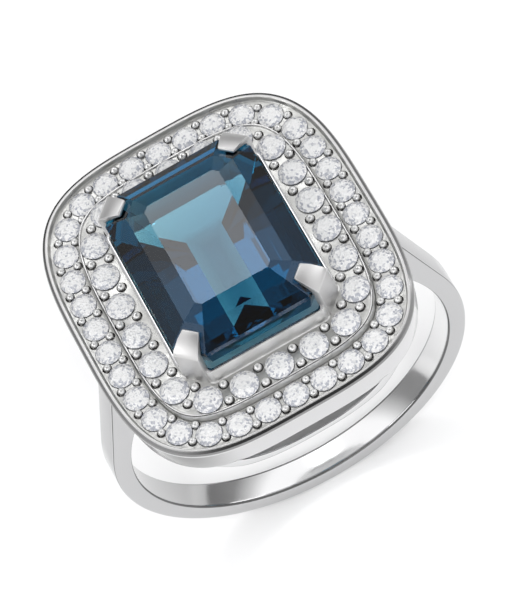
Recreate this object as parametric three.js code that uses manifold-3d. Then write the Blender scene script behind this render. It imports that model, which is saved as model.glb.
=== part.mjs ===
// Cocktail ring: an emerald-cut centre stone in four claws over a two-tier pave halo.
// Units are millimetres. The origin is the centre of the finger hole, +Y is the
// finger's axis and +Z runs up through the head, out of the centre stone's table.

import * as THREE from "three";
import { mergeVertices } from "three/addons/utils/BufferGeometryUtils.js";
import Module from "manifold-3d";

const wasm = await Module();
wasm.setup();

// ---- Driving dimensions -------------------------------------------------------------

const CLEARANCE = 0.04;           // gap kept between pieces that touch
const SUNK = 0.1;                 // how far a part of a piece reaches into the next to join it
const FINGER_RADIUS = 8.65;       // US size 7
const SHANK_THICKNESS = 0.95;
const SHANK_WIDTH = 1.65;
const ARM_TOP_OUTER_X = 6.9;
const ARM_TOP_INNER_X = 4.9;
const ARM_INNER_TURN_X = 5.3;     // where the arms' inner face leaves the finger circle

const HALO_HALF_X = 7.76;
const HALO_HALF_Y = 8.8;
const HALO_EXPONENT = 3.46;       // superellipse exponent of the cushion outline
const OUTLINE_STEPS = 52;

const RIM_TOP_Z = 11.85;
const RIM_WIDTH = 0.34;
const RIM_DEPTH = 0.35;           // height of the overhanging rim band
const WALL_INSET = 0.14;          // the skirt wall stands this far inside the rim
const WALL_THICKNESS = 0.42;
const WALL_BOTTOM_Z = 10.1;
const OUTER_FIELD_Z = 11.61;
const PLATE_BOTTOM_Z = 10.75;
const TIER_SEAT_Z = 11.15;
const PLATE_HOLE_HALF_X = 2.35;   // the hole that the centre stone's point passes through
const PLATE_HOLE_HALF_Y = 3.43;
const PLATE_HOLE_CORNER = 0.6;

const TIER_INSET = 1.88;          // the tier's outline, inside the rim's
const TIER_FIELD_Z = 12.0;
const TIER_RIDGE_Z = 12.06;
const TIER_RIDGE_WIDTH = 0.12;

const OUTER_COUNT = 34;
const OUTER_INSET = 1.12;
const OUTER_DIAMETER = 1.28;
const OUTER_TABLE_Z = 11.86;
const INNER_COUNT = 22;
const INNER_INSET = 2.66;
const INNER_DIAMETER = 1.42;
const INNER_TABLE_Z = 12.3;

const RAIL_THICKNESS = 0.75;
const RAIL_BOTTOM_Z = 9.0;
const RAIL_END_X = 5.0;
const SLOT_BOTTOM_Z = 9.35;
const SLOT_HALF_LENGTH = 3.55;
const RAIL_FULLNESS = 0.62;       // how far out the rail's two curves stay low

const STONE_HALF_X = 3.9;
const STONE_HALF_Y = 4.98;
const STONE_CORNER = 1.2;         // length of the cut corner along each side
const GIRDLE_Z = 14.2;

const COLLAR_GAP = 0.08;
const COLLAR_THICKNESS = 0.17;
const COLLAR_TOP_Z = 13.0;

const CLAW_BASE_WIDTH = 1.3;
const CLAW_TIP_WIDTH = 0.78;
const CLAW_THICKNESS = 0.42;
const CLAW_REACH = 0.72;          // how far a claw's tip lies over the crown
const CLAW_HEIGHT = 0.26;         // of a claw over the stone

// ---- Materials ----------------------------------------------------------------------

function silver() {
  return new THREE.MeshStandardMaterial({ color: 0xd9dadb, roughness: 0.14, metalness: 1 });
}

function clearStone() {
  return new THREE.MeshStandardMaterial({ color: 0xf1f3f6, roughness: 0.03, metalness: 0 });
}

function blueStone() {
  return new THREE.MeshStandardMaterial({ color: 0x0b4a72, roughness: 0.03, metalness: 0 });
}

// ---- Solids -------------------------------------------------------------------------

// Turns a closed three.js geometry into a solid that can be cut and joined.
function solidOf(geometry) {
  const bare = geometry.index ? geometry.toNonIndexed() : geometry.clone();
  bare.deleteAttribute("normal");
  bare.deleteAttribute("uv");
  const merged = mergeVertices(bare, 1e-5);
  const mesh = new wasm.Mesh({
    numProp: 3,
    vertProperties: new Float32Array(merged.attributes.position.array),
    triVerts: new Uint32Array(merged.index.array),
  });
  return new wasm.Manifold(mesh);
}

function geometryOf(solid) {
  const mesh = solid.getMesh();
  const geometry = new THREE.BufferGeometry();
  geometry.setAttribute("position", new THREE.BufferAttribute(mesh.vertProperties, 3));
  geometry.setIndex(new THREE.BufferAttribute(mesh.triVerts, 1));
  geometry.computeVertexNormals();
  return geometry;
}

function pieceOf(name, geometry, material) {
  const piece = new THREE.Mesh(geometry, material);
  piece.name = name;
  return piece;
}

// ---- Outlines -----------------------------------------------------------------------

// The halo's cushion outline, moved inwards by `inset` along its own normals.
function haloOutline(inset, steps = OUTLINE_STEPS) {
  const power = 2 / HALO_EXPONENT;
  const at = (angle) => {
    const c = Math.cos(angle);
    const s = Math.sin(angle);
    return new THREE.Vector2(
      HALO_HALF_X * Math.sign(c) * Math.abs(c) ** power,
      HALO_HALF_Y * Math.sign(s) * Math.abs(s) ** power,
    );
  };
  const fine = Array.from({ length: 720 }, (_, i) => at((i / 720) * 2 * Math.PI));
  const moved = fine.map((point, i) => {
    const next = fine[(i + 1) % fine.length];
    const previous = fine[(i + fine.length - 1) % fine.length];
    const along = next.clone().sub(previous).normalize();
    return new THREE.Vector2(point.x - along.y * inset, point.y + along.x * inset);
  });
  return spacedAlong(moved, steps);
}

// `count` points at equal distances round a closed line, starting at the middle of its
// front (-Y) side and running towards +X.
function spacedAlong(line, count) {
  const front = line.reduce((best, point, i) => {
    const better = point.y < 0 && Math.abs(point.x) < Math.abs(line[best].x);
    return better || line[best].y >= 0 ? i : best;
  }, 0);
  const ordered = line.map((_, i) => line[(front + i) % line.length]);
  ordered.push(ordered[0]);
  const reached = [0];
  for (let i = 1; i < ordered.length; i += 1) {
    reached.push(reached[i - 1] + ordered[i].distanceTo(ordered[i - 1]));
  }
  const total = reached[reached.length - 1];
  const points = [];
  for (let k = 0; k < count; k += 1) {
    const target = (k / count) * total;
    let i = 1;
    while (reached[i] <= target) {
      i += 1;
    }
    const part = (target - reached[i - 1]) / (reached[i] - reached[i - 1]);
    points.push(ordered[i - 1].clone().lerp(ordered[i], part));
  }
  return points;
}

// A rectangle with cut corners, like the emerald-cut stone's outline.
function cutCornerOutline(halfX, halfY, corner) {
  return [
    new THREE.Vector2(halfX, halfY - corner),
    new THREE.Vector2(halfX - corner, halfY),
    new THREE.Vector2(-halfX + corner, halfY),
    new THREE.Vector2(-halfX, halfY - corner),
    new THREE.Vector2(-halfX, -halfY + corner),
    new THREE.Vector2(-halfX + corner, -halfY),
    new THREE.Vector2(halfX - corner, -halfY),
    new THREE.Vector2(halfX, -halfY + corner),
  ];
}

// An upright solid between two heights, from an outer outline to an inner one.
function ringSolid(outer, inner, bottom, top) {
  const shape = new THREE.Shape(outer);
  if (inner) {
    shape.holes.push(new THREE.Path(inner));
  }
  const geometry = new THREE.ExtrudeGeometry(shape, {
    depth: top - bottom,
    bevelEnabled: false,
    steps: 1,
  });
  geometry.translate(0, 0, bottom);
  return solidOf(geometry);
}

// A solid whose outline lies in XZ, running along Y from `start` to `end`.
function sideSolid(points, start, end) {
  const geometry = new THREE.ExtrudeGeometry(new THREE.Shape(points), {
    depth: end - start,
    bevelEnabled: false,
    steps: 1,
  });
  geometry.rotateX(Math.PI / 2);
  geometry.translate(0, end, 0);
  return solidOf(geometry);
}

// ---- Round stones -------------------------------------------------------------------

const CUT_SIDES = 8;
const TABLE_RATIO = 0.56;         // parts of a round stone, over its diameter
const CROWN_RATIO = 0.15;
const GIRDLE_RATIO = 0.05;
const PAVILION_RATIO = 0.42;

// A round stone turned about Z, with its table at z = 0.
function roundStone(diameter) {
  const radius = diameter / 2;
  const girdleTop = -CROWN_RATIO * diameter;
  const girdleBottom = girdleTop - GIRDLE_RATIO * diameter;
  const culet = girdleBottom - PAVILION_RATIO * diameter;
  const profile = [
    new THREE.Vector2(0, culet),
    new THREE.Vector2(radius, girdleBottom),
    new THREE.Vector2(radius, girdleTop),
    new THREE.Vector2(radius * TABLE_RATIO, 0),
    new THREE.Vector2(0, 0),
  ];
  const geometry = new THREE.LatheGeometry(profile, CUT_SIDES);
  geometry.rotateX(Math.PI / 2);
  return geometryOf(solidOf(geometry));
}

// The conical seat that a round stone sits in, open at `top`.
function seatSolid(diameter, tableZ, top) {
  const girdleBottom = tableZ - (CROWN_RATIO + GIRDLE_RATIO) * diameter;
  const mouth = diameter / 2 + CLEARANCE;
  const depth = PAVILION_RATIO * diameter + CLEARANCE;
  const height = depth + top - girdleBottom;
  const geometry = new THREE.CylinderGeometry(mouth, CLEARANCE * 2, depth, CUT_SIDES);
  geometry.rotateX(Math.PI / 2);
  geometry.translate(0, 0, girdleBottom - depth / 2);
  const cone = solidOf(geometry);
  if (height <= depth) {
    return cone;
  }
  const collar = new THREE.CylinderGeometry(mouth, mouth, height - depth, CUT_SIDES);
  collar.rotateX(Math.PI / 2);
  collar.translate(0, 0, girdleBottom + (height - depth) / 2);
  return cone.add(solidOf(collar));
}

// Where the stones of a row stand, with the angle that turns each to face outwards.
function rowPlaces(count, inset) {
  const line = haloOutline(inset, 360);
  return spacedAlong(line, count).map((point) => ({
    x: point.x,
    y: point.y,
    turn: Math.atan2(point.y, point.x),
  }));
}

function seatsOf(places, diameter, tableZ, top) {
  const seat = seatSolid(diameter, tableZ, top);
  return places.map((place) => {
    const turned = seat.rotate([0, 0, THREE.MathUtils.radToDeg(place.turn)]);
    return turned.translate([place.x, place.y, 0]);
  });
}

// ---- Shank --------------------------------------------------------------------------

const ARM_TOP_Z = PLATE_BOTTOM_Z - CLEARANCE;

// The band's outline in XZ: a ring open at the top, whose arms leave the circle along
// its tangent and rise to the head.
function shankOutline() {
  const outerRadius = FINGER_RADIUS + SHANK_THICKNESS;
  const armTop = new THREE.Vector2(ARM_TOP_OUTER_X, ARM_TOP_Z);
  const tangentAngle = armTop.angle() - Math.acos(outerRadius / armTop.length());
  const innerAngle = Math.acos(ARM_INNER_TURN_X / FINGER_RADIUS);
  const outline = new THREE.Shape();
  outline.moveTo(ARM_TOP_INNER_X, ARM_TOP_Z);
  outline.lineTo(ARM_TOP_OUTER_X, ARM_TOP_Z);
  outline.absarc(0, 0, outerRadius, tangentAngle, Math.PI - tangentAngle, true);
  outline.lineTo(-ARM_TOP_OUTER_X, ARM_TOP_Z);
  outline.lineTo(-ARM_TOP_INNER_X, ARM_TOP_Z);
  outline.absarc(0, 0, FINGER_RADIUS, Math.PI - innerAngle, innerAngle, false);
  return outline.getPoints(36);
}

const shank = sideSolid(shankOutline(), -SHANK_WIDTH / 2, SHANK_WIDTH / 2);

// ---- Halo tray ----------------------------------------------------------------------

// The gallery's rail: a crescent that leaves a slot under the tray's front and back.
function railOutline() {
  const top = WALL_BOTTOM_Z + SUNK;
  const lowX = RAIL_END_X * RAIL_FULLNESS;
  const slotLowX = SLOT_HALF_LENGTH * RAIL_FULLNESS;
  const outline = new THREE.Shape();
  outline.moveTo(-RAIL_END_X, top);
  outline.quadraticCurveTo(-lowX, RAIL_BOTTOM_Z, 0, RAIL_BOTTOM_Z);
  outline.quadraticCurveTo(lowX, RAIL_BOTTOM_Z, RAIL_END_X, top);
  outline.lineTo(SLOT_HALF_LENGTH, top);
  outline.quadraticCurveTo(slotLowX, SLOT_BOTTOM_Z, 0, SLOT_BOTTOM_Z);
  outline.quadraticCurveTo(-slotLowX, SLOT_BOTTOM_Z, -SLOT_HALF_LENGTH, top);
  return outline.getPoints(6);
}

function haloTray(places) {
  const wallOuter = haloOutline(WALL_INSET);
  const pavilionHole = cutCornerOutline(PLATE_HOLE_HALF_X, PLATE_HOLE_HALF_Y, PLATE_HOLE_CORNER);
  const rim = ringSolid(
    haloOutline(0),
    haloOutline(RIM_WIDTH),
    RIM_TOP_Z - RIM_DEPTH,
    RIM_TOP_Z,
  );
  const wall = ringSolid(
    wallOuter,
    haloOutline(WALL_INSET + WALL_THICKNESS),
    WALL_BOTTOM_Z,
    OUTER_FIELD_Z,
  );
  const plate = ringSolid(haloOutline(RIM_WIDTH / 2), pavilionHole, PLATE_BOTTOM_Z, TIER_SEAT_Z);
  const field = ringSolid(
    haloOutline(RIM_WIDTH / 2),
    haloOutline(TIER_INSET - CLEARANCE),
    PLATE_BOTTOM_Z + CLEARANCE,
    OUTER_FIELD_Z,
  );
  const skirt = ringSolid(
    wallOuter,
    haloOutline(WALL_INSET + RAIL_THICKNESS),
    RAIL_BOTTOM_Z - SUNK,
    WALL_BOTTOM_Z + SUNK * 2,
  );
  const rails = skirt.intersect(sideSolid(railOutline(), -HALO_HALF_Y, HALO_HALF_Y));
  let tray = wall.add(rim).add(plate).add(field).add(rails);
  for (const seat of seatsOf(places, OUTER_DIAMETER, OUTER_TABLE_Z, OUTER_FIELD_Z + SUNK)) {
    tray = tray.subtract(seat);
  }
  return tray;
}

// ---- Upper tier with its collar and claws -------------------------------------------

const CROWN_STEPS = [
  { inward: 1.05, rise: 0.6, corner: 0.7 },
  { inward: 0.87, rise: 0.29, corner: 0.25 },
];

// A claw's side view: t runs outwards from the stone's cut corner, z runs up.
function clawOutline() {
  const inner = CLEARANCE * 2;
  const outer = inner + CLAW_THICKNESS;
  const slope = CROWN_STEPS[0].rise / (CROWN_STEPS[0].inward * 1.05);
  const over = GIRDLE_Z + CLEARANCE * 2;
  const tipZ = over + CLAW_REACH * slope;
  return [
    new THREE.Vector2(inner, TIER_FIELD_Z - SUNK),
    new THREE.Vector2(outer, TIER_FIELD_Z - SUNK),
    new THREE.Vector2(outer, GIRDLE_Z),
    new THREE.Vector2(outer - CLAW_THICKNESS * 0.4, GIRDLE_Z + CLAW_HEIGHT),
    new THREE.Vector2(-CLAW_REACH * 0.86, tipZ + CLAW_HEIGHT),
    new THREE.Vector2(-CLAW_REACH, tipZ + CLAW_HEIGHT / 2),
    new THREE.Vector2(-CLAW_REACH, tipZ),
    new THREE.Vector2(inner, over),
  ];
}

// One claw, standing at the corner of the stone in the +X +Y quarter.
function clawSolid() {
  const half = CLAW_BASE_WIDTH / 2;
  const bar = sideSolid(clawOutline(), -half, half);
  const taper = new THREE.Shape([
    new THREE.Vector2(CLAW_THICKNESS * 2, -half),
    new THREE.Vector2(CLAW_THICKNESS * 2, half),
    new THREE.Vector2(0, half),
    new THREE.Vector2(-CLAW_REACH - 0.1, CLAW_TIP_WIDTH / 2),
    new THREE.Vector2(-CLAW_REACH - 0.1, -CLAW_TIP_WIDTH / 2),
    new THREE.Vector2(0, -half),
  ]);
  const taperBlock = new THREE.ExtrudeGeometry(taper, { depth: 10, bevelEnabled: false });
  taperBlock.translate(0, 0, TIER_FIELD_Z - 1);
  return bar.intersect(solidOf(taperBlock));
}

function upperTier(places) {
  const opening = cutCornerOutline(
    STONE_HALF_X + COLLAR_GAP,
    STONE_HALF_Y + COLLAR_GAP,
    STONE_CORNER,
  );
  const collarOuter = cutCornerOutline(
    STONE_HALF_X + COLLAR_GAP + COLLAR_THICKNESS,
    STONE_HALF_Y + COLLAR_GAP + COLLAR_THICKNESS,
    STONE_CORNER,
  );
  const outline = haloOutline(TIER_INSET);
  const bottom = TIER_SEAT_Z + CLEARANCE;
  const ridgeInner = haloOutline(TIER_INSET + TIER_RIDGE_WIDTH);
  let tier = ringSolid(outline, opening, bottom, TIER_FIELD_Z);
  tier = tier.add(ringSolid(outline, ridgeInner, TIER_FIELD_Z - SUNK, TIER_RIDGE_Z));
  tier = tier.add(ringSolid(collarOuter, opening, TIER_FIELD_Z - SUNK, COLLAR_TOP_Z));
  for (const seat of seatsOf(places, INNER_DIAMETER, INNER_TABLE_Z, TIER_RIDGE_Z + SUNK)) {
    tier = tier.subtract(seat);
  }
  const claw = clawSolid();
  const cornerX = STONE_HALF_X - STONE_CORNER / 2;
  const cornerY = STONE_HALF_Y - STONE_CORNER / 2;
  for (const [signX, signY, turn] of [[1, 1, 45], [-1, 1, 135], [-1, -1, 225], [1, -1, 315]]) {
    const placed = claw.rotate([0, 0, turn]).translate([signX * cornerX, signY * cornerY, 0]);
    tier = tier.add(placed);
  }
  return tier;
}

// ---- Centre stone -------------------------------------------------------------------

const GIRDLE_HEIGHT = 0.3;
const PAVILION_STEPS = [
  { inward: 0.35, drop: 1.15, corner: 0.95 },
  { inward: 1.6, drop: 1.63, corner: 0.53 },
  { inward: 1.0, drop: 0.99, corner: 0.03 },
  { inward: 0.93, drop: 0.28, corner: 0.01 },
];

// The slab of the emerald cut between two outlines: a hull of two flat polygons, made as
// the overlap of one wedge for each of its eight sloping facets.
function stepSolid(low, high) {
  const reach = 30;
  const middle = (low.z + high.z) / 2;
  let slab = solidOf(new THREE.BoxGeometry(reach, reach, high.z - low.z).translate(0, 0, middle));
  low.outline.forEach((lowStart, i) => {
    const lowEnd = low.outline[(i + 1) % low.outline.length];
    const highStart = high.outline[i];
    const across = lowEnd.clone().sub(lowStart).normalize();
    const outward = new THREE.Vector2(across.y, -across.x);
    const slant = highStart.clone().sub(lowStart).dot(outward) / (high.z - low.z);
    const cut = new THREE.BoxGeometry(reach, reach, reach);
    cut.translate(reach / 2, 0, 0);
    cut.rotateY(Math.atan(slant));
    cut.rotateZ(Math.atan2(outward.y, outward.x));
    cut.translate(lowStart.x, lowStart.y, low.z);
    slab = slab.subtract(solidOf(cut));
  });
  return slab;
}

function centreStone() {
  const level = (halfX, halfY, corner, z) => ({
    halfX,
    halfY,
    z,
    outline: cutCornerOutline(halfX, halfY, corner),
  });
  const girdleBottom = GIRDLE_Z - GIRDLE_HEIGHT;
  const top = level(STONE_HALF_X, STONE_HALF_Y, STONE_CORNER, GIRDLE_Z);
  const bottom = level(STONE_HALF_X, STONE_HALF_Y, STONE_CORNER, girdleBottom);
  let stone = ringSolid(top.outline, null, bottom.z, top.z);
  let from = top;
  for (const step of CROWN_STEPS) {
    const to = level(
      from.halfX - step.inward,
      from.halfY - step.inward,
      step.corner,
      from.z + step.rise,
    );
    stone = stone.add(stepSolid(from, to));
    from = to;
  }
  from = bottom;
  for (const step of PAVILION_STEPS) {
    const to = level(
      from.halfX - step.inward,
      from.halfY - step.inward,
      step.corner,
      from.z - step.drop,
    );
    stone = stone.add(stepSolid(to, from));
    from = to;
  }
  return stone;
}

// ---- Assembly -----------------------------------------------------------------------

const group = new THREE.Group();
const outerPlaces = rowPlaces(OUTER_COUNT, OUTER_INSET);
const innerPlaces = rowPlaces(INNER_COUNT, INNER_INSET);

group.add(pieceOf("shank", geometryOf(shank), silver()));
group.add(pieceOf("halo_tray", geometryOf(haloTray(outerPlaces)), silver()));
group.add(pieceOf("claw_tier", geometryOf(upperTier(innerPlaces)), silver()));
group.add(pieceOf("centre_stone", geometryOf(centreStone()), blueStone()));

// Sets one row of round stones into its seats.
function addRow(rowName, places, diameter, tableZ) {
  const row = new THREE.Group();
  places.forEach((place, i) => {
    const number = String(i + 1).padStart(2, "0");
    const stone = pieceOf(`${rowName}_${number}`, roundStone(diameter), clearStone());
    stone.position.set(place.x, place.y, tableZ);
    stone.rotation.z = place.turn;
    row.add(stone);
  });
  group.add(row);
}

addRow("outer_stone", outerPlaces, OUTER_DIAMETER, OUTER_TABLE_Z);
addRow("inner_stone", innerPlaces, INNER_DIAMETER, INNER_TABLE_Z);

export default group;
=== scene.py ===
"""A cocktail ring: an emerald-cut centre stone in four claws over a two-tier pave halo.

Sizes and places are in millimetres, and are turned into metres where a mesh, a shader, a
light or the camera is made. The frame is the part's own: the origin is the centre of the
finger hole, +Y is the finger's axis and +Z runs up through the head.
"""

import math

import bmesh
import bpy
from mathutils import Matrix, Vector


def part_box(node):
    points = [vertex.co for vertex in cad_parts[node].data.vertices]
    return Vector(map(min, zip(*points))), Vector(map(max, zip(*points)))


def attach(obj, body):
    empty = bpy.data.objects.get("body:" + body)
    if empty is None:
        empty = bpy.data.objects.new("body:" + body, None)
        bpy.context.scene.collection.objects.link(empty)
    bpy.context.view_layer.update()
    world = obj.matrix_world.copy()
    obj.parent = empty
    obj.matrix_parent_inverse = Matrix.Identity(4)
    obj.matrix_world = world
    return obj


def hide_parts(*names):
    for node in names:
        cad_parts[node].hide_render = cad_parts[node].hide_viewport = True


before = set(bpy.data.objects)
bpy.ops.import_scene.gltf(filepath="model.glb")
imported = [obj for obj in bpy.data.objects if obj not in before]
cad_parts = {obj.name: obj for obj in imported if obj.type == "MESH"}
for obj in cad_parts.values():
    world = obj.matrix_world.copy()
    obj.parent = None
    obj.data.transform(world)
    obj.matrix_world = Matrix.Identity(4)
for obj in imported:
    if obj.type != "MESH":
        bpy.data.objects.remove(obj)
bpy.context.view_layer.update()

MM = 0.001


# ---- Sizes from the frame ------------------------------------------------------------

TRAY_LOW, TRAY_HIGH = (Vector(corner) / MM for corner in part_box("halo_tray"))
TIER_LOW, TIER_HIGH = (Vector(corner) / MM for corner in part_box("claw_tier"))
STONE_LOW, STONE_HIGH = (Vector(corner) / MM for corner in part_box("centre_stone"))
SHANK_LOW, SHANK_HIGH = (Vector(corner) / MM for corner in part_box("shank"))

OUTER_NODES = sorted(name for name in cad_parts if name.startswith("outer_stone"))
INNER_NODES = sorted(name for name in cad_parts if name.startswith("inner_stone"))

HALO_EXPONENT = 3.46           # superellipse exponent of the cushion outline
STATIONS = 288                 # points round each contour of the halo
FINE_STEPS = 5760              # steps in which the outline's length is measured
CASTING_SMOOTH = 32            # degrees; a sharper bend in the castings stays an edge

RIM_TOP = TRAY_HIGH.z
OUTER_FIELD = RIM_TOP - 0.24   # the sunken floor that holds the outer stones
PLATE_BOTTOM = RIM_TOP - 1.10  # the underside of the tray's plate
WALL_BOTTOM = RIM_TOP - 1.75   # the lower edge of the skirt wall
TRAY_HOLE = (2.35, 3.43, 0.6)  # half sizes and corner cut of the hole for the pavilion
TIER_SEAT = TIER_LOW.z - 0.04  # where the tray carries the tier
TIER_INSET = TRAY_HIGH.x - TIER_HIGH.x
TIER_FIELD = RIM_TOP + 0.15    # the floor that holds the inner stones
RIDGE_TOP = RIM_TOP + 0.21
COLLAR_TOP = RIM_TOP + 1.15    # the top of the wall round the centre stone
COLLAR_GAP = 0.08
COLLAR_THICKNESS = 0.17

# The centre stone. A step goes inwards, then up or down, to a ring whose corners are cut
# by the third size.
GIRDLE_HALF_X = STONE_HIGH.x
GIRDLE_HALF_Y = STONE_HIGH.y
GIRDLE_CORNER = 1.2
GIRDLE_HEIGHT = 0.3
CROWN_STEPS = [(1.05, 0.60, 0.7), (0.87, 0.29, 0.25)]
PAVILION_STEPS = [(0.35, 1.15, 0.95), (1.60, 1.63, 0.53), (1.00, 0.99, 0.03),
                  (0.93, 0.28, 0.01)]
GIRDLE_TOP = STONE_HIGH.z - sum(rise for _, rise, _ in CROWN_STEPS)


# ---- Mesh helpers --------------------------------------------------------------------

def add_object(name, mesh, materials):
    """Puts a mesh with its materials into the scene."""
    for material in materials:
        mesh.materials.append(material)
    made = bpy.data.objects.new(name, mesh)
    bpy.context.scene.collection.objects.link(made)
    return made


def stand_for(made, nodes):
    """Sets a piece on the CAD body, in place of the nodes that it shows."""
    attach(made, "root")
    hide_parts(*nodes)


def face_outwards(mesh):
    """Turns the faces of every closed shell outwards."""
    shell = bmesh.new()
    shell.from_mesh(mesh)
    bmesh.ops.recalc_face_normals(shell, faces=shell.faces)
    shell.to_mesh(mesh)
    shell.free()


def smooth(mesh, degrees):
    """Shades the mesh smooth, apart from bends that are sharper than the angle."""
    mesh.shade_smooth()
    mesh.set_sharp_from_angle(angle=math.radians(degrees))


def circle(centre, radius, z, sides):
    """A level ring of points, from the +X side."""
    angles = [2 * math.pi * k / sides for k in range(sides)]
    return [Vector((centre.x + radius * math.cos(angle),
                    centre.y + radius * math.sin(angle), z)) for angle in angles]


class Shells:
    """Closed shells gathered into one mesh, with a finish for each face."""

    def __init__(self):
        self.vertices = []
        self.faces = []
        self.finishes = []

    def add(self, vertices, faces, finish):
        """Adds a shell; `finish` is a material or a function of a face's corners."""
        start = len(self.vertices)
        self.vertices += [Vector(vertex) for vertex in vertices]
        for face in faces:
            self.faces.append([start + i for i in face])
            self.finishes.append(finish(face) if callable(finish) else finish)

    def loft(self, rings, finish, closed=True):
        """Joins rings of equal length; `closed` joins the last ring to the first.

        `finish` is a material or a function of a face's row and column. An open loft is
        capped at both ends, in the finish of column 0.
        """
        count = len(rings[0])
        vertices = [point for ring in rings for point in ring]
        faces = []
        for j in range(len(rings) - (0 if closed else 1)):
            above = (j + 1) % len(rings)
            for i in range(count):
                beside = (i + 1) % count
                faces.append((j * count + i, j * count + beside,
                              above * count + beside, above * count + i))
        if not closed:
            faces.append(tuple(range(count)))
            faces.append(tuple((len(rings) - 1) * count + i for i in range(count)))
        if callable(finish):
            self.add(vertices, faces, lambda face: finish(*divmod(face[0], count)))
        else:
            self.add(vertices, faces, finish)

    def loft_strips(self, strips):
        """Lofts a closed section from pairs of a ring and the finish that starts there."""
        finishes = [finish for _, finish in strips]
        self.loft([ring for ring, _ in strips], lambda row, _: finishes[row])

    def made(self, name, materials):
        """The shells as one object, whose materials include every finish."""
        mesh = bpy.data.meshes.new(name)
        mesh.from_pydata([vertex * MM for vertex in self.vertices], [], self.faces)
        mesh.validate()
        face_outwards(mesh)
        made = add_object(name, mesh, materials)
        numbers = {material.name: i for i, material in enumerate(materials)}
        for polygon, finish in zip(mesh.polygons, self.finishes):
            polygon.material_index = numbers[finish.name]
        return made


def cut_away(target, cutter):
    """Cuts one object out of another and drops the cutter."""
    modifier = target.modifiers.new("cut", "BOOLEAN")
    modifier.operation = "DIFFERENCE"
    modifier.solver = "EXACT"
    modifier.object = cutter
    evaluated = target.evaluated_get(bpy.context.evaluated_depsgraph_get())
    result = bpy.data.meshes.new_from_object(evaluated)
    target.modifiers.remove(modifier)
    target.data = result
    bpy.data.objects.remove(cutter)


def join_into(target, extra):
    """Adds another object's shells to the target's mesh and drops the object."""
    whole = bmesh.new()
    whole.from_mesh(target.data)
    whole.from_mesh(extra.data)
    whole.to_mesh(target.data)
    whole.free()
    bpy.data.objects.remove(extra)


# ---- Shader nodes --------------------------------------------------------------------

def node_material(name):
    """A new material, its node tree and its shader."""
    material = bpy.data.materials.new(name)
    material.use_nodes = True
    shader = material.node_tree.nodes["Principled BSDF"]
    return material, material.node_tree, shader


def feed(tree, socket, value):
    """Links another socket to an input, or sets the input's value."""
    if isinstance(value, bpy.types.NodeSocket):
        tree.links.new(value, socket)
    else:
        socket.default_value = value


def separated(tree, source):
    """The X, Y and Z outputs of a vector."""
    node = tree.nodes.new("ShaderNodeSeparateXYZ")
    tree.links.new(source, node.inputs[0])
    return node.outputs


def calculated(tree, operation, *values):
    """The result of a Math node, whose inputs are sockets or numbers."""
    node = tree.nodes.new("ShaderNodeMath")
    node.operation = operation
    for socket, value in zip(node.inputs, values):
        feed(tree, socket, value)
    return node.outputs[0]


def mapped(tree, source, start, end, low=0.0, high=1.0, eased=False):
    """Goes from `low` to `high` as the source goes from `start` to `end`."""
    node = tree.nodes.new("ShaderNodeMapRange")
    if eased:
        node.interpolation_type = "SMOOTHSTEP"
    node.inputs["From Min"].default_value = start
    node.inputs["From Max"].default_value = end
    node.inputs["To Min"].default_value = low
    node.inputs["To Max"].default_value = high
    tree.links.new(source, node.inputs["Value"])
    return node.outputs["Result"]


def mixed(tree, factor, first, second, blend_type="MIX"):
    """A mix of two colours, each of which is a socket or a tuple."""
    node = tree.nodes.new("ShaderNodeMix")
    node.data_type = "RGBA"
    node.blend_type = blend_type
    feed(tree, node.inputs["Factor"], factor)
    feed(tree, node.inputs["A"], first)
    feed(tree, node.inputs["B"], second)
    return node.outputs["Result"]


def stepped(tree, source, levels):
    """A colour that follows the source through pairs of a position and a colour."""
    node = tree.nodes.new("ShaderNodeValToRGB")
    stops = node.color_ramp.elements
    stops[0].position, stops[1].position = levels[0][0], levels[-1][0]
    for position, _ in levels[1:-1]:
        stops.new(position)
    for stop, (_, colour) in zip(stops, levels):
        stop.color = (*colour, 1.0)
    tree.links.new(source, node.inputs["Fac"])
    return node.outputs["Color"]


def noise(tree, scale, detail, stretch=(1.0, 1.0, 1.0)):
    """Noise in the object's own space, with features about 1 / scale metres long."""
    place = tree.nodes.new("ShaderNodeTexCoord")
    mapping = tree.nodes.new("ShaderNodeMapping")
    mapping.inputs["Scale"].default_value = stretch
    node = tree.nodes.new("ShaderNodeTexNoise")
    node.inputs["Scale"].default_value = scale
    node.inputs["Detail"].default_value = detail
    tree.links.new(place.outputs["Object"], mapping.inputs["Vector"])
    tree.links.new(mapping.outputs["Vector"], node.inputs["Vector"])
    return node.outputs[0]


def raise_surface(tree, shader, height, strength, distance):
    """Bumps a surface by a height that is at most `distance` millimetres."""
    node = tree.nodes.new("ShaderNodeBump")
    node.inputs["Strength"].default_value = strength
    node.inputs["Distance"].default_value = distance * MM
    tree.links.new(height, node.inputs["Height"])
    tree.links.new(node.outputs["Normal"], shader.inputs["Normal"])


# ---- Materials -----------------------------------------------------------------------

CLOUD_SCALE = 700.0            # how fine the patches of duller polish are
GRAIN_STRETCH = (1.0, 1.0, 0.35)
GRAIN_DEPTH = 0.02
TOPAZ_IOR = 1.62
ZIRCONIA_IOR = 2.15
# The small stones' flashes are painted highlights in their colour; the same mosaic also
# bumps the facets.
FLASH_SCALE = 9500.0           # how fine the flashes of a small stone are
FLASH_DEPTH = 0.05
PAINTED_FLASH_TILT = (1.6, -1.46)      # a flash gains the first times its facet's Z, plus the second
PAINTED_FLASH_RANGE = (0.12, 0.36)     # the sums at which a flash is dim and bright


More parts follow.
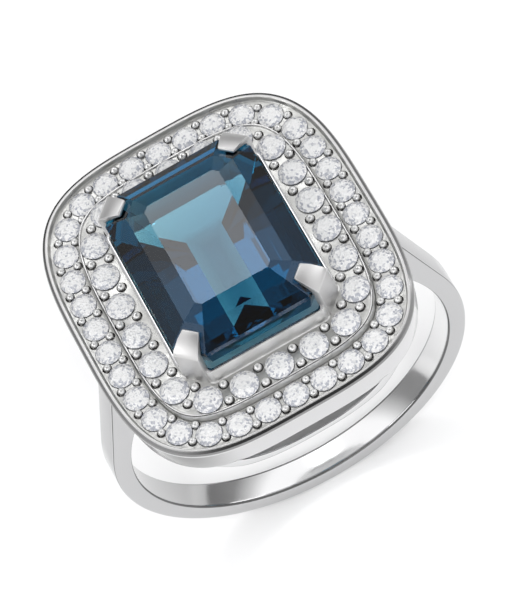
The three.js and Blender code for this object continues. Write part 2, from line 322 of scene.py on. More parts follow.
def silver_material(name, colour, roughness, spread=0.04, grain=9000.0, relief=0.04,
                    metallic=1.0):
    """Silver whose polish varies by `spread` in patches, over a fine grain."""
    material, tree, shader = node_material(name)
    shader.inputs["Metallic"].default_value = metallic
    shader.inputs["Base Color"].default_value = (*colour, 1.0)
    cloudy = noise(tree, CLOUD_SCALE, 3.0)
    hazed = mapped(tree, cloudy, 0.3, 0.7, roughness - spread, roughness + spread)
    tree.links.new(hazed, shader.inputs["Roughness"])
    fine = noise(tree, grain, 5.0, GRAIN_STRETCH)
    raise_surface(tree, shader, fine, relief, GRAIN_DEPTH)
    return material


def painted_shading_material(name, dark, light, start, end, roughness):
    """Polished silver with painted shade and light: dark at x = `start`, going to light at x
    = `end`.
    """
    material = silver_material(name, light, roughness)
    tree = material.node_tree
    place = tree.nodes.new("ShaderNodeTexCoord").outputs["Object"]
    across = mapped(tree, separated(tree, place)["X"], start * MM, end * MM, eased=True)
    tint = mixed(tree, across, (*dark, 1.0), (*light, 1.0))
    tree.links.new(tint, tree.nodes["Principled BSDF"].inputs["Base Color"])
    return material


def gem_material(name, ior, transmission):
    """A polished stone that has no colour yet."""
    material, tree, shader = node_material(name)
    shader.inputs["Roughness"].default_value = 0.0
    shader.inputs["IOR"].default_value = ior
    shader.inputs["Transmission Weight"].default_value = transmission
    return material, tree, shader


def clear_material(name, dim, bright):
    """Small white stones with painted highlights: their base colour is a mosaic of dim and
    bright painted flashes, finer than the facets.

    The flatter a facet lies, the more of its painted flashes are bright, as if lit from
    above.
    """
    material, tree, shader = gem_material(name, ZIRCONIA_IOR, 0.30)
    place = tree.nodes.new("ShaderNodeTexCoord")
    mosaic = tree.nodes.new("ShaderNodeTexVoronoi")
    mosaic.inputs["Scale"].default_value = FLASH_SCALE
    tree.links.new(place.outputs["Object"], mosaic.inputs["Vector"])
    upright = separated(tree, place.outputs["Normal"])["Z"]
    flatness = calculated(tree, "MULTIPLY_ADD", upright, *PAINTED_FLASH_TILT)
    chance = separated(tree, mosaic.outputs["Color"])["X"]
    flash = mapped(tree, calculated(tree, "ADD", flatness, chance), *PAINTED_FLASH_RANGE)
    tint = mixed(tree, flash, (*dim, 1.0), (*bright, 1.0))
    tree.links.new(tint, shader.inputs["Base Color"])
    raise_surface(tree, shader, mosaic.outputs["Distance"], 0.8, FLASH_DEPTH)
    return material


def blue_material(name, left, right, painted_shades, absorption, density):
    """The centre stone, a little greener on its left side, with painted shade by height:
    darker at the culet and over the girdle and the pavilion's first step.

    Its painted shades are pairs of a height, as a share of the stone's own, and a colour.
    """
    material, tree, shader = gem_material(name, TOPAZ_IOR, 1.0)
    place = separated(tree, tree.nodes.new("ShaderNodeTexCoord").outputs["Object"])
    across = mapped(tree, place["X"], -GIRDLE_HALF_X * MM, GIRDLE_HALF_X * MM)
    height = mapped(tree, place["Z"], STONE_LOW.z * MM, STONE_HIGH.z * MM)
    tint = mixed(tree, across, (*left, 1.0), (*right, 1.0))
    shaded = mixed(tree, 1.0, tint, stepped(tree, height, painted_shades), "MULTIPLY")
    tree.links.new(shaded, shader.inputs["Base Color"])
    volume = tree.nodes.new("ShaderNodeVolumeAbsorption")
    volume.inputs["Color"].default_value = (*absorption, 1.0)
    volume.inputs["Density"].default_value = density
    tree.links.new(volume.outputs[0], tree.nodes["Material Output"].inputs["Volume"])
    return material


# The two castings: polished edges, satin walls, brushed claws, and pave fields that are
# duller, with cuts round the beads. Painted shade: darker silver in those cuts, dark
# lines along rounded edges and round the rim, a skirt wall that darkens towards one end,
# and shaded silver in recesses.
BRIGHT = silver_material("bright_silver", (0.67, 0.67, 0.675), 0.10)
SATIN = silver_material("cast_silver", (0.85, 0.85, 0.84), 0.38,
                        spread=0.08, grain=14000.0, relief=0.9, metallic=0.80)
BEAD = silver_material("bead_silver", (0.95, 0.95, 0.94), 0.36, spread=0.05, relief=0.05)
BRUSHED = silver_material("brushed_silver", (0.78, 0.775, 0.77), 0.43,
                          spread=0.06, grain=16000.0, relief=0.1)
SHADED = silver_material("shaded_silver", (0.40, 0.40, 0.40), 0.42,
                         spread=0.12, relief=1.0)
FIELD = silver_material("pave_silver", (0.56, 0.56, 0.545), 0.36,
                        spread=0.12, grain=5200.0, relief=1.0, metallic=0.9)
# Painted shade: darker silver on the walls of the cuts round the beads.
POCKET_SHADE = silver_material("pocket_shade_silver", (0.34, 0.335, 0.33), 0.45, spread=0.10, relief=0.25)
# Painted shade: nearly black silver on rounded edges, for dark lines along them.
EDGE_SHADE = silver_material("edge_shade_silver", (0.15, 0.15, 0.15), 0.16)
# Painted shade: dark silver on the rounding of the rim's outer edge.
RIM_SHADE = silver_material("rim_shade_silver", (0.27, 0.27, 0.27), 0.14)
# Painted shade: the skirt wall darkens towards its -X end, where it turns the corner.
WALL_SHADE = painted_shading_material("wall_shade_silver", dark=(0.25, 0.25, 0.25), light=(0.67, 0.67, 0.675),
                       start=-6.2, end=-3.0, roughness=0.10)
METALS = [BRIGHT, SATIN, BEAD, BRUSHED, SHADED, FIELD, POCKET_SHADE, EDGE_SHADE, RIM_SHADE, WALL_SHADE]

# The band: its sides; its bore, a lighter copy of its silver with painted light and painted
# shade towards one end; its outer face, a darker copy with painted shade; and painted dark
# lines along its edges.
BAND = silver_material("band_silver", (0.55, 0.55, 0.555), 0.10)
# Painted light and shade: the bore is a lighter copy of the band's silver that darkens
# towards its -X end.
BORE_SHADING = painted_shading_material("bore_shading_silver", dark=(0.62, 0.62, 0.62), light=(0.96, 0.96, 0.96),
                       start=-7.5, end=-3.5, roughness=0.13)
# Painted shade: the band's outer face is a darker copy of its silver.
BACK_SHADE = silver_material("band_back_shade_silver", (0.38, 0.38, 0.385), 0.12)
BAND_METALS = [BAND, BORE_SHADING, BACK_SHADE, EDGE_SHADE]

CLEAR = clear_material("clear_stone", dim=(0.50, 0.52, 0.58), bright=(1.0, 1.0, 1.0))
# Painted shade on the centre stone by height: darker at the culet, and a darker band over
# the girdle and the pavilion's first step.
BLUE_PAINTED_SHADES = [(0.02, (0.24, 0.33, 0.40)), (0.11, (1, 1, 1)), (0.50, (1, 1, 1)),
               (0.56, (0.70, 0.88, 0.90)), (0.82, (0.70, 0.88, 0.90)),
               (0.835, (1, 1, 1))]
BLUE = blue_material("blue_stone", left=(0.74, 0.98, 0.97), right=(0.70, 0.84, 1.0),
                     painted_shades=BLUE_PAINTED_SHADES, absorption=(0.0, 0.535, 0.655), density=520.0)


# ---- Halo outlines -------------------------------------------------------------------

def superellipse(angle):
    """A point on the halo's rim and its outward normal."""
    power = 2.0 / HALO_EXPONENT
    c, s = math.cos(angle), math.sin(angle)
    x = TRAY_HIGH.x * math.copysign(abs(c) ** power, c)
    y = TRAY_HIGH.y * math.copysign(abs(s) ** power, s)
    slope = HALO_EXPONENT - 1.0
    normal = Vector((
        math.copysign((abs(x) / TRAY_HIGH.x) ** slope / TRAY_HIGH.x, x),
        math.copysign((abs(y) / TRAY_HIGH.y) ** slope / TRAY_HIGH.y, y),
    ))
    return Vector((x, y)), normal.normalized()


def even_stations(count):
    """Rim points and normals at equal distances round the outline, from +X."""
    fine = [superellipse(2 * math.pi * i / FINE_STEPS) for i in range(FINE_STEPS + 1)]
    reached = [0.0]
    for (before, _), (after, _) in zip(fine, fine[1:]):
        reached.append(reached[-1] + (after - before).length)
    stations = []
    i = 0
    for k in range(count):
        while reached[i + 1] < reached[-1] * k / count:
            i += 1
        stations.append(fine[i])
    return stations


RIM_STATIONS = even_stations(STATIONS)


def inset_ring(inset, z):
    """A level ring parallel to the rim."""
    moved = [point - normal * inset for point, normal in RIM_STATIONS]
    return [Vector((point.x, point.y, z)) for point in moved]


def cut_corner_points(half_x, half_y, corner):
    """The eight corners of a rectangle with cut corners, anticlockwise."""
    return [
        Vector((half_x, half_y - corner)), Vector((half_x - corner, half_y)),
        Vector((-half_x + corner, half_y)), Vector((-half_x, half_y - corner)),
        Vector((-half_x, -half_y + corner)), Vector((-half_x + corner, -half_y)),
        Vector((half_x - corner, -half_y)), Vector((half_x, -half_y + corner)),
    ]


def cut_corner_ring(half_x, half_y, corner, z):
    """A cut-corner rectangle, with one point towards each station of the rim."""
    tiny = 1e-9
    ring = []
    for point, _ in RIM_STATIONS:
        toward = Vector((abs(point.x) / TRAY_HIGH.x * half_x,
                         abs(point.y) / TRAY_HIGH.y * half_y))
        scale = min(
            half_x / max(toward.x, tiny),
            half_y / max(toward.y, tiny),
            (half_x + half_y - corner) / max(toward.x + toward.y, tiny),
        )
        ring.append(Vector((math.copysign(toward.x * scale, point.x),
                            math.copysign(toward.y * scale, point.y), z)))
    return ring


def contour(finish, points):
    """Strips of one finish, which start at these insets from the rim and heights."""
    return [(inset_ring(inset, z), finish) for inset, z in points]


def collar_contour(finish, points):
    """Strips of one finish, which start this far outside the girdle and at this height."""
    return [(cut_corner_ring(GIRDLE_HALF_X + out, GIRDLE_HALF_Y + out, GIRDLE_CORNER, z),
             finish) for out, z in points]


# ---- Seats and beads -----------------------------------------------------------------

DEPTH_SHARE = 0.62             # a round stone's depth as a share of its diameter
SEAT_SIDES = 24
SEAT_GAP = 0.03
SEAT_EDGE = 0.40               # from the table to a seat's edge, as a share of the radius
SEAT_DEPTH = 0.92              # from its edge to its bottom, as a share of the radius
SEAT_BOTTOM = 0.06             # the radius of its bottom
POCKET_SIDES = 12
BEAD_AROUND = 14
BEAD_ROWS = 7
BEAD_SUNK = 0.6                # radians of a bead's side that go below its middle
BEAD_LIFT = 0.08               # how far a bead's middle is above the field

# How far the beads and their pockets are from the middle line of a row, and their radii.
OUTER_BEADS, OUTER_POCKETS = (0.41, 0.185), (0.43, 0.24)
INNER_BEADS, INNER_POCKETS = (0.44, 0.205), (0.46, 0.265)


def stone_place(node):
    """A round stone's centre, radius and table height."""
    low, high = (Vector(corner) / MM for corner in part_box(node))
    centre = (low + high) / 2
    radius = (high.z - low.z) / DEPTH_SHARE / 2
    return Vector((centre.x, centre.y)), radius, high.z


def bead_places(nodes, offset):
    """Two spots in each gap of a row, one on either side of its middle line."""
    places = [stone_place(node)[0] for node in nodes]
    spots = []
    for here, beside in zip(places, places[1:] + places[:1]):
        middle = (here + beside) / 2
        along = (beside - here).normalized()
        across = Vector((along.y, -along.x))
        spots += [middle + across * offset * side for side in (-1, 1)]
    return spots


def add_bead(shells, centre, z, radius):
    """A round grain of metal, pushed over the edge of the stones beside it."""
    rings = []
    for j in range(BEAD_ROWS):
        tilt = -BEAD_SUNK + (math.pi / 2 + BEAD_SUNK) * j / BEAD_ROWS
        rings.append(circle(centre, radius * math.cos(tilt), z + radius * math.sin(tilt),
                            BEAD_AROUND))
    vertices = [point for ring in rings for point in ring]
    top = len(vertices)
    vertices.append(Vector((centre.x, centre.y, z + radius)))
    faces = [tuple(reversed(range(BEAD_AROUND)))]
    for k in range(BEAD_AROUND):
        beside = (k + 1) % BEAD_AROUND
        for start in range(0, top - BEAD_AROUND, BEAD_AROUND):
            above = start + BEAD_AROUND
            faces.append((start + k, start + beside, above + beside, above + k))
        faces.append((top - BEAD_AROUND + k, top - BEAD_AROUND + beside, top))
    shells.add(vertices, faces, BEAD)


def bead_row(shells, nodes, offset, radius, field):
    """The beads between the stones of a row."""
    for spot in bead_places(nodes, offset):
        add_bead(shells, spot, field + BEAD_LIFT, radius)


def cut_seats(target, nodes, top):
    """The flared cups that are cut for a row of stones."""
    seats = Shells()
    for node in nodes:
        centre, radius, table = stone_place(node)
        edge = table - SEAT_EDGE * radius
        wide = radius + SEAT_GAP
        levels = [(SEAT_BOTTOM, edge - SEAT_DEPTH * radius), (wide, edge + 0.01),
                  (wide, top)]
        rings = [circle(centre, r, z, SEAT_SIDES) for r, z in levels]
        seats.loft(rings, SATIN, closed=False)
    cut_away(target, seats.made("seats", METALS))


def cut_pockets(target, nodes, offset, radius, field):
    """The graver's cut round each bead."""
    pockets = Shells()
    levels = [(radius * 0.6, field - 0.20), (radius, field - 0.02), (radius, field + 0.1)]
    for spot in bead_places(nodes, offset):
        rings = [circle(spot, r, z, POCKET_SIDES) for r, z in levels]
        # The cuts get the darker silver of painted shade.
        pockets.loft(rings, POCKET_SHADE, closed=False)
    cut_away(target, pockets.made("pockets", METALS))


# ---- Lower tray ----------------------------------------------------------------------

SLOT_HALF = 3.55               # half the length of the slot above the rail
SLOT_HEIGHT = 0.75
RAIL_HALF = 5.0
RAIL_STATIONS = 720            # stations round the whole rim, of which the rail uses half
RAIL_CURVE = 2.3               # exponent of the crescent's edges
# One finish for each side of the rail's section, from under its lip, up and to the back.
# The dark lines under the lip and the shaded shelf are painted shade.
RAIL_FINISHES = [BRIGHT] + [EDGE_SHADE] * 2 + [BRIGHT] * 4 + [SHADED] * 4 + [BRIGHT] * 3


def build_tray():
    """The casting that holds the outer stones, with its rim, skirt wall and rails."""
    shells = Shells()
    # The rows at the rim's outer rounding, the line under the skirt wall and the skirt wall
    # itself carry painted shade.
    shells.loft_strips(
        contour(RIM_SHADE, [(0.02, RIM_TOP - 0.12), (0.05, RIM_TOP - 0.06)])
        + contour(BRIGHT, [(0.16, RIM_TOP - 0.01)])
        + contour(BRUSHED, [(0.18, RIM_TOP)])
        + contour(FIELD, [
            (0.28, RIM_TOP), (0.31, RIM_TOP - 0.03), (0.34, OUTER_FIELD + 0.06),
            (0.37, OUTER_FIELD + 0.01), (0.40, OUTER_FIELD - 0.01),
            (0.46, OUTER_FIELD - 0.01), (0.54, OUTER_FIELD), (1.70, OUTER_FIELD),
            (1.78, OUTER_FIELD - 0.02)])
        + contour(SATIN, [(TIER_INSET - 0.03, OUTER_FIELD - 0.08),
                          (TIER_INSET - 0.02, TIER_SEAT)])
        + [(cut_corner_ring(*TRAY_HOLE, z), BRIGHT) for z in (TIER_SEAT, PLATE_BOTTOM)]
        + contour(BRIGHT, [
            (0.72, PLATE_BOTTOM), (0.62, PLATE_BOTTOM - 0.03), (0.58, PLATE_BOTTOM - 0.12),
            (0.57, WALL_BOTTOM + 0.06), (0.53, WALL_BOTTOM + 0.01), (0.46, WALL_BOTTOM)])
        + contour(EDGE_SHADE, [(0.24, WALL_BOTTOM), (0.18, WALL_BOTTOM + 0.03)])
        + contour(WALL_SHADE, [(0.16, WALL_BOTTOM + 0.08), (0.15, RIM_TOP - 0.50)])
        + contour(BRIGHT, [(0.15, RIM_TOP - 0.40), (0.10, RIM_TOP - 0.37),
                           (0.03, RIM_TOP - 0.34), (0.0, RIM_TOP - 0.28)])
        + contour(RIM_SHADE, [(0.0, RIM_TOP - 0.18)])
    )
    tray = shells.made("lower_tray", METALS)
    stand_for(tray, ["halo_tray"])
    cut_seats(tray, OUTER_NODES, OUTER_FIELD + 0.2)
    cut_pockets(tray, OUTER_NODES, *OUTER_POCKETS, OUTER_FIELD)
    extra = Shells()
    bead_row(extra, OUTER_NODES, *OUTER_BEADS, OUTER_FIELD)
    for side in (-1, 1):
        add_rail(extra, side)
    join_into(tray, extra.made("extra", METALS))
    smooth(tray.data, CASTING_SMOOTH)


def rail_span(x):
    """The rail's lower and upper edge at x: a crescent under the skirt wall."""
    rise = WALL_BOTTOM + 0.01 - TRAY_LOW.z
    low = TRAY_LOW.z + rise * (abs(x) / RAIL_HALF) ** RAIL_CURVE
    along_slot = min(abs(x) / SLOT_HALF, 1.3)
    high = WALL_BOTTOM - SLOT_HEIGHT * (1.0 - along_slot ** RAIL_CURVE)
    return low, min(max(high, low + 0.12), WALL_BOTTOM + 0.14)


def rail_section(x):
    """Insets and heights round the rail at x: its lip, the shelf behind and its back."""
    low, high = rail_span(x)
    end = min(max((abs(x) - SLOT_HALF) / (RAIL_HALF - SLOT_HALF), 0.0), 1.0)
    lean = 0.10 * (1.0 - end) * (WALL_BOTTOM - high)
    face, deep = lean + 0.14 + 0.05 * end, lean + 0.89 - 0.45 * end
    return [
        (face + 0.14, low), (face + 0.08, low), (face + 0.02, low + 0.04),
        (face, low + 0.11), (face, high - 0.05), (face + 0.02, high - 0.01),
        (face + 0.05, high), (face + 0.09, high - 0.01), (face + 0.12, high - 0.03),
        (deep - 0.03, high - 0.04), (deep, high - 0.06), (deep, low * 0.6 + high * 0.4),
        (deep - 0.05, low + 0.02), (deep - 0.10, low),
    ]


def add_rail(shells, side):
    """The lower rail of the gallery, on the side where y has this sign."""
    stations = [(point, normal) for point, normal in even_stations(RAIL_STATIONS)
                if point.y * side > 0 and abs(point.x) <= RAIL_HALF]
    stations.sort(key=lambda station: station[0].x)
    rings = []
    for point, normal in stations[::2]:
        ring = []
        for inset, z in rail_section(point.x):
            moved = point - normal * inset
            ring.append(Vector((moved.x, moved.y, z)))
        rings.append(ring)
    shells.loft(rings, lambda _, column: RAIL_FINISHES[column], closed=False)


# ---- Upper tier, collar and claws ----------------------------------------------------

CLAW_REACH = 0.78              # how far a claw goes over the stone from its cut corner
CLAW_FLATNESS = 1.05           # how much flatter than the crown's first step it lies
CLAW_ROUNDING = 0.07
CLAW_SHARP = 25                # degrees; a claw's edges that are sharper get rounded


def build_tier():
    """The casting that holds the inner stones, with its ridge, collar and claws."""
    edge = TIER_INSET
    wall = COLLAR_GAP + COLLAR_THICKNESS
    shells = Shells()
    # The dark line at the ridge's outer edge and the collar's inside carry painted shade.
    shells.loft_strips(
        contour(SATIN, [(edge, TIER_LOW.z)])
        + contour(EDGE_SHADE, [(edge, RIDGE_TOP - 0.05), (edge + 0.015, RIDGE_TOP - 0.015)])
        + contour(BRUSHED, [(edge + 0.03, RIDGE_TOP), (edge + 0.08, RIDGE_TOP),
                            (edge + 0.10, RIDGE_TOP - 0.02)])
        + contour(FIELD, [(edge + 0.12, TIER_FIELD - 0.005),
                          (edge + 0.18, TIER_FIELD - 0.02), (edge + 0.26, TIER_FIELD)])
        + collar_contour(SATIN, [(wall + 0.06, TIER_FIELD),
                                 (wall + 0.01, TIER_FIELD + 0.04),
                                 (wall, TIER_FIELD + 0.12)])
        + collar_contour(BRIGHT, [
            (wall - 0.01, COLLAR_TOP - 0.06), (wall - 0.03, COLLAR_TOP - 0.01),
            (wall - 0.07, COLLAR_TOP), (COLLAR_GAP + 0.05, COLLAR_TOP),
            (COLLAR_GAP + 0.015, COLLAR_TOP - 0.015)])
        + collar_contour(SHADED, [(COLLAR_GAP, COLLAR_TOP - 0.06),
                                  (COLLAR_GAP, TIER_LOW.z)])
    )
    tier = shells.made("upper_tier", METALS)
    stand_for(tier, ["claw_tier"])
    cut_seats(tier, INNER_NODES, TIER_FIELD + 0.12)
    cut_pockets(tier, INNER_NODES, *INNER_POCKETS, TIER_FIELD)
    extra = Shells()
    bead_row(extra, INNER_NODES, *INNER_BEADS, TIER_FIELD)
    for sign_x in (-1, 1):
        for sign_y in (-1, 1):
            add_claw(extra, sign_x, sign_y)
    join_into(tier, extra.made("extra", METALS))
    smooth(tier.data, CASTING_SMOOTH)


def add_claw(shells, sign_x, sign_y):
    """One flat claw: a post beside the cut corner, folded over the crown."""
    slope = CROWN_STEPS[0][1] / (CROWN_STEPS[0][0] * CLAW_FLATNESS)
    over = GIRDLE_TOP + 0.05
    tip = over + CLAW_REACH * slope
    # The side view: distance outwards from the cut corner, height and half width.
    outline = [
        (0.06, TIER_FIELD - 0.20, 0.62), (0.46, TIER_FIELD - 0.20, 0.62),
        (0.47, GIRDLE_TOP - 0.50, 0.64), (0.45, GIRDLE_TOP + 0.10, 0.65),
        (0.30, GIRDLE_TOP + 0.28, 0.63), (-0.25, GIRDLE_TOP + 0.55, 0.54),
        (-CLAW_REACH + 0.08, tip + 0.20, 0.42), (-CLAW_REACH, tip + 0.10, 0.39),
        (-CLAW_REACH, tip, 0.39), (-0.25, over + 0.25 * slope, 0.54),
        (0.06, over, 0.63), (0.06, GIRDLE_TOP - 0.50, 0.62),
    ]
    corner = Vector((GIRDLE_HALF_X, GIRDLE_HALF_Y)) - Vector((1, 1)) * GIRDLE_CORNER / 2
    out = Vector((1, 1)).normalized()
    side = Vector((-1, 1)).normalized()
    claw = bmesh.new()
    sides = []
    for way in (-1, 1):
        row = []
        for along, height, half in outline:
            spot = corner + out * along + side * half * way
            row.append(claw.verts.new((spot.x * sign_x, spot.y * sign_y, height)))
        sides.append(row)
    for i in range(len(outline)):
        beside = (i + 1) % len(outline)
        claw.faces.new((sides[0][i], sides[0][beside], sides[1][beside], sides[1][i]))
    for row in sides:
        claw.faces.new(row)
    bmesh.ops.recalc_face_normals(claw, faces=claw.faces)
    sharpness = math.radians(CLAW_SHARP)
    sharp = [edge for edge in claw.edges if edge.calc_face_angle() > sharpness]
    bmesh.ops.bevel(claw, geom=sharp, offset=CLAW_ROUNDING, segments=3, profile=0.5,
                    affect="EDGES", clamp_overlap=True)
    claw.verts.index_update()
    shells.add([vertex.co.copy() for vertex in claw.verts],
               [[vertex.index for vertex in face.verts] for face in claw.faces], BRUSHED)
    claw.free()


# ---- Band ----------------------------------------------------------------------------

BAND_THICKNESS = 0.947
BAND_HALF_WIDTH = 0.78
BAND_WIDENING = 0.005          # growth of the half width for each millimetre of height
BAND_EDGE = 0.16               # radius of the band's edges
BAND_SMOOTH = 40               # degrees
BAND_STATIONS = 110            # from the top of an arm to the lowest point
BEND_ROUNDING = 12             # passes that round the bend where an arm meets the bore
FINGER_RADIUS = SHANK_HIGH.x - BAND_THICKNESS
BAND_RADIUS = -SHANK_LOW.z
ARM_SUNK = 0.05                # how far the arms run into the tray
ARM_TOP = Vector((6.9, SHANK_HIGH.z + ARM_SUNK))
ARM_INNER = Vector((4.9, SHANK_HIGH.z + ARM_SUNK))
ARM_TURN_X = 5.3


def on_circle(radius, angle):
    """The point at this angle on a circle round the origin."""
    return Vector((radius * math.cos(angle), radius * math.sin(angle)))


def path_points(line_start, arc_radius, arc_angle):
    """Equally spaced points down an arm and round an arc to its lowest point."""
    arc_start = on_circle(arc_radius, arc_angle)
    straight = (arc_start - line_start).length
    total = straight + arc_radius * (arc_angle + math.pi / 2)
    points = []
    for i in range(BAND_STATIONS):
        reached = total * i / (BAND_STATIONS - 1)
        if reached < straight:
            points.append(line_start.lerp(arc_start, reached / straight))
        else:
            points.append(on_circle(arc_radius,
                                    arc_angle - (reached - straight) / arc_radius))
    return points


def softened(points, passes):
    """Rounds the bends of a path and keeps its ends."""
    for _ in range(passes):
        points = [points[0]] + [
            (before + here * 2 + after) / 4
            for before, here, after in zip(points, points[1:], points[2:])
        ] + [points[-1]]
    return points


def mirrored(points):
    """The path and its mirror image, from the right arm's top to the left one's."""
    return points + [Vector((-point.x, point.y)) for point in reversed(points[:-1])]


def band_ring(far, near):
    """The section between a point of the outer path and one of the inner path.

    It has five points round each corner: outer far side, bore far side, bore near side,
    outer near side.
    """
    half = BAND_HALF_WIDTH + BAND_WIDENING * max(0.0, far.y + BAND_RADIUS)
    thick = (far - near).length
    unit = (far - near) / thick
    outer, side = thick - BAND_EDGE, half - BAND_EDGE
    corners = [(outer, side, 0), (BAND_EDGE, side, 90), (BAND_EDGE, -side, 180),
               (outer, -side, 270)]
    ring = []
    for along, across, turn in corners:
        for k in range(5):
            rounded = on_circle(BAND_EDGE, math.radians(turn + 22.5 * k))
            spot = near + unit * (along + rounded.x)
            ring.append(Vector((spot.x, across + rounded.y, spot.y)))
    return ring


def build_band():
    """The band: two straight arms, tangent to a round band, under the tray."""
    tangent = math.atan2(ARM_TOP.y, ARM_TOP.x) - math.acos(BAND_RADIUS / ARM_TOP.length)
    outer = path_points(ARM_TOP, BAND_RADIUS, tangent)
    inner = path_points(ARM_INNER, FINGER_RADIUS, math.acos(ARM_TURN_X / FINGER_RADIUS))
    inner = softened(inner, BEND_ROUNDING)
    rings = [band_ring(far, near) for far, near in zip(mirrored(outer), mirrored(inner))]
    # One row for each corner of the section, with the flat after it last.
    # The edge lines, the bore and the outer face carry painted shade and light.
    finishes = [
        BAND, BAND, EDGE_SHADE, BAND, BAND,
        BAND, BAND, EDGE_SHADE, BAND, BORE_SHADING,
        BAND, EDGE_SHADE, EDGE_SHADE, BAND, BAND,
        BAND, BAND, EDGE_SHADE, BAND, BACK_SHADE,
    ]
    shells = Shells()
    shells.loft(rings, lambda _, column: finishes[column], closed=False)
    band = shells.made("band", BAND_METALS)
    stand_for(band, ["shank"])
    smooth(band.data, BAND_SMOOTH)


# ---- Stones --------------------------------------------------------------------------

FACET_MERGE = 0.6              # degrees; faces that differ less become one facet
STONE_TURN = 0.37              # radians from one brilliant of a row to the next


def hull_piece(name, points, material, nodes):
    """A stone whose facets are the flat faces round its corner points."""
    mesh = bpy.data.meshes.new(name)
    shell = bmesh.new()
    for point in points:
        shell.verts.new(Vector(point) * MM)
    bmesh.ops.convex_hull(shell, input=shell.verts)
    bmesh.ops.dissolve_limit(shell, angle_limit=math.radians(FACET_MERGE),
                             verts=shell.verts, edges=shell.edges)
    bmesh.ops.recalc_face_normals(shell, faces=shell.faces)
    shell.to_mesh(mesh)
    shell.free()
    stand_for(add_object(name, mesh, [material]), nodes)


def brilliant_points(centre, radius, table, turn):
    """The corners of a round brilliant cut's facets."""
    crown, girdle, pavilion = 0.30 * radius, 0.06 * radius, 0.86 * radius
    table_r, star_r, lower_r = 0.56 * radius, 0.77 * radius, 0.22 * radius
    spread = math.cos(math.pi / 8)
    star_drop = crown * (star_r * spread - table_r) / (radius - table_r)
    culet = table - crown - girdle - pavilion
    lower_z = culet + pavilion * lower_r * spread / radius
    points = [(0, 0, culet)]
    for k in range(8):
        between = k * math.pi / 4
        main = between + math.pi / 8
        points.append((*on_circle(table_r, main), table))
        points.append((*on_circle(star_r, between), table - star_drop))
        points.append((*on_circle(lower_r, between), lower_z))
        for angle in (main, between):
            points.append((*on_circle(radius, angle), table - crown))
            points.append((*on_circle(radius, angle), table - crown - girdle))
    turned = Matrix.Rotation(turn, 3, "Z")
    shift = Vector((centre.x, centre.y, 0))
    return [turned @ Vector(point) + shift for point in points]


def build_round_stones(nodes, prefix):
    """A row of brilliants, each turned a little further than the one before."""
    for i, node in enumerate(nodes):
        centre, radius, table = stone_place(node)
        turn = (i * STONE_TURN) % (math.pi / 4)
        hull_piece(f"{prefix}_{i + 1:02d}", brilliant_points(centre, radius, table, turn),
                   CLEAR, [node])


def stepped_levels(steps, z, way):
    """Half sizes, corner cut and height after each step, upwards or downwards."""
    half_x, half_y = GIRDLE_HALF_X, GIRDLE_HALF_Y
    levels = []
    for inward, rise, corner in steps:
        half_x, half_y, z = half_x - inward, half_y - inward, z + rise * way
        levels.append((half_x, half_y, corner, z))
    return levels


def build_centre_stone():
    """The emerald-cut stone: its girdle, the crown's steps and the pavilion's steps."""
    girdle_bottom = GIRDLE_TOP - GIRDLE_HEIGHT
    levels = [(GIRDLE_HALF_X, GIRDLE_HALF_Y, GIRDLE_CORNER, z)
              for z in (GIRDLE_TOP, girdle_bottom)]
    levels += stepped_levels(CROWN_STEPS, GIRDLE_TOP, 1)
    levels += stepped_levels(PAVILION_STEPS, girdle_bottom, -1)
    points = [(point.x, point.y, z) for half_x, half_y, corner, z in levels
              for point in cut_corner_points(half_x, half_y, corner)]
    hull_piece("blue_emerald_cut", points, BLUE, ["centre_stone"])


# ---- Stage, lights and camera --------------------------------------------------------

FLOOR_SIZE = 3000.0
FLOOR_DROP = 0.02              # the floor's distance under the band
LIGHT_DISTANCE = 300
# The world's brightness over the height of a direction, on the camera's side and behind
# the ring. Both are dark overhead, so that polished edges get dark lines.
FRONT_LEVELS = [(0.0, 0.75), (0.25, 0.90), (0.5, 0.90), (0.7, 0.65), (0.84, 0.22),
                (0.95, 0.05)]
BACK_LEVELS = [(0.0, 0.22), (0.32, 0.25), (0.5, 0.60), (0.64, 1.0), (0.88, 1.0),
               (0.95, 0.10)]
COOLNESS = 1.01                # how much bluer than grey the world is
# From straight in front of the ring: degrees to the right, upwards and of roll.
CAMERA_ANGLES = (-1.6, 58.5, 28.0)
CAMERA_AIM = Vector((0.55, 3.40, 2.09))
CAMERA_DISTANCE = 197.9
CAMERA_LENS = 235.9
CAMERA_SENSOR = 36.0


def build_stage():
    """The white floor under the band."""
    floor_z = SHANK_LOW.z - FLOOR_DROP
    bpy.ops.mesh.primitive_plane_add(size=FLOOR_SIZE * MM, location=(0, 0, floor_z * MM))
    floor = bpy.context.object
    floor.name = "floor"
    material, _, shader = node_material("floor_white")
    shader.inputs["Base Color"].default_value = (0.90, 0.90, 0.90, 1)
    shader.inputs["Roughness"].default_value = 0.25
    floor.data.materials.append(material)


def soft_box(name, size, radiance, direction, distance=LIGHT_DISTANCE, reflected=True):
    """A light aimed at the ring, as bright as `radiance` where it is reflected."""
    data = bpy.data.lights.new(name, "AREA")
    data.shape = "RECTANGLE"
    data.size, data.size_y = size[0] * MM, size[1] * MM
    data.energy = radiance * math.pi * data.size * data.size_y
    light = bpy.data.objects.new(name, data)
    bpy.context.scene.collection.objects.link(light)
    light.location = Vector(direction).normalized() * distance * MM
    light.rotation_euler = light.location.to_track_quat("Z", "Y").to_euler()
    light.visible_glossy = reflected
    light.visible_transmission = reflected


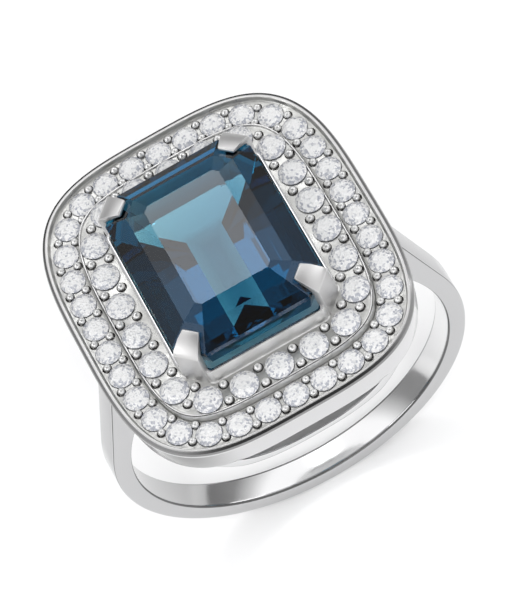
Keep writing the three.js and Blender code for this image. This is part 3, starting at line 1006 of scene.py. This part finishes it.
def build_world():
    """A grey surround that is brighter at the sides than overhead."""
    world = bpy.data.worlds.new("studio")
    bpy.context.scene.world = world
    world.use_nodes = True
    tree = world.node_tree
    toward = tree.nodes.new("ShaderNodeTexCoord").outputs["Generated"]
    direction = separated(tree, toward)
    sides = [stepped(tree, direction["Z"], [(height, (level, level, level * COOLNESS))
                                            for height, level in levels])
             for levels in (FRONT_LEVELS, BACK_LEVELS)]
    turn = mapped(tree, direction["Y"], -0.5, 0.0, eased=True)
    tree.links.new(mixed(tree, turn, *sides), tree.nodes["Background"].inputs["Color"])


def build_lights():
    """Four soft boxes and a wash; back_top is what a level surface mirrors."""
    soft_box("back_top", (95, 95), 2.0, (0.0, 0.522, 0.853))
    soft_box("left", (110, 130), 2.6, (-0.85, -0.10, 0.55))
    soft_box("right", (90, 130), 2.2, (0.85, 0.15, 0.50))
    soft_box("front", (160, 60), 1.8, (-0.20, -0.90, 0.40))
    soft_box("wash", (200, 200), 6.2, (0.0, -0.522, 0.853), distance=350, reflected=False)


def build_camera():
    """The photo's view, which looks down on the head and is turned round its own axis."""
    azimuth, elevation, roll = (math.radians(angle) for angle in CAMERA_ANGLES)
    back = Vector((math.sin(azimuth) * math.cos(elevation),
                   -math.cos(azimuth) * math.cos(elevation), math.sin(elevation)))
    level_right = Vector((0, 0, 1)).cross(back).normalized()
    level_up = back.cross(level_right)
    right = level_right * math.cos(roll) - level_up * math.sin(roll)
    up = level_right * math.sin(roll) + level_up * math.cos(roll)
    data = bpy.data.cameras.new("camera")
    data.sensor_width = CAMERA_SENSOR
    data.lens = CAMERA_LENS
    data.clip_start, data.clip_end = 0.01, 10.0
    camera = bpy.data.objects.new("camera", data)
    bpy.context.scene.collection.objects.link(camera)
    place = Matrix((right, up, back)).transposed().to_4x4()
    place.translation = (CAMERA_AIM + back * CAMERA_DISTANCE) * MM
    camera.matrix_world = place
    bpy.context.scene.camera = camera


build_camera()
build_stage()
build_world()
build_lights()
build_band()
build_tray()
build_tier()
build_round_stones(OUTER_NODES, "outer_brilliant")
build_round_stones(INNER_NODES, "inner_brilliant")
build_centre_stone()

bpy.context.scene.view_settings.view_transform = "Standard"
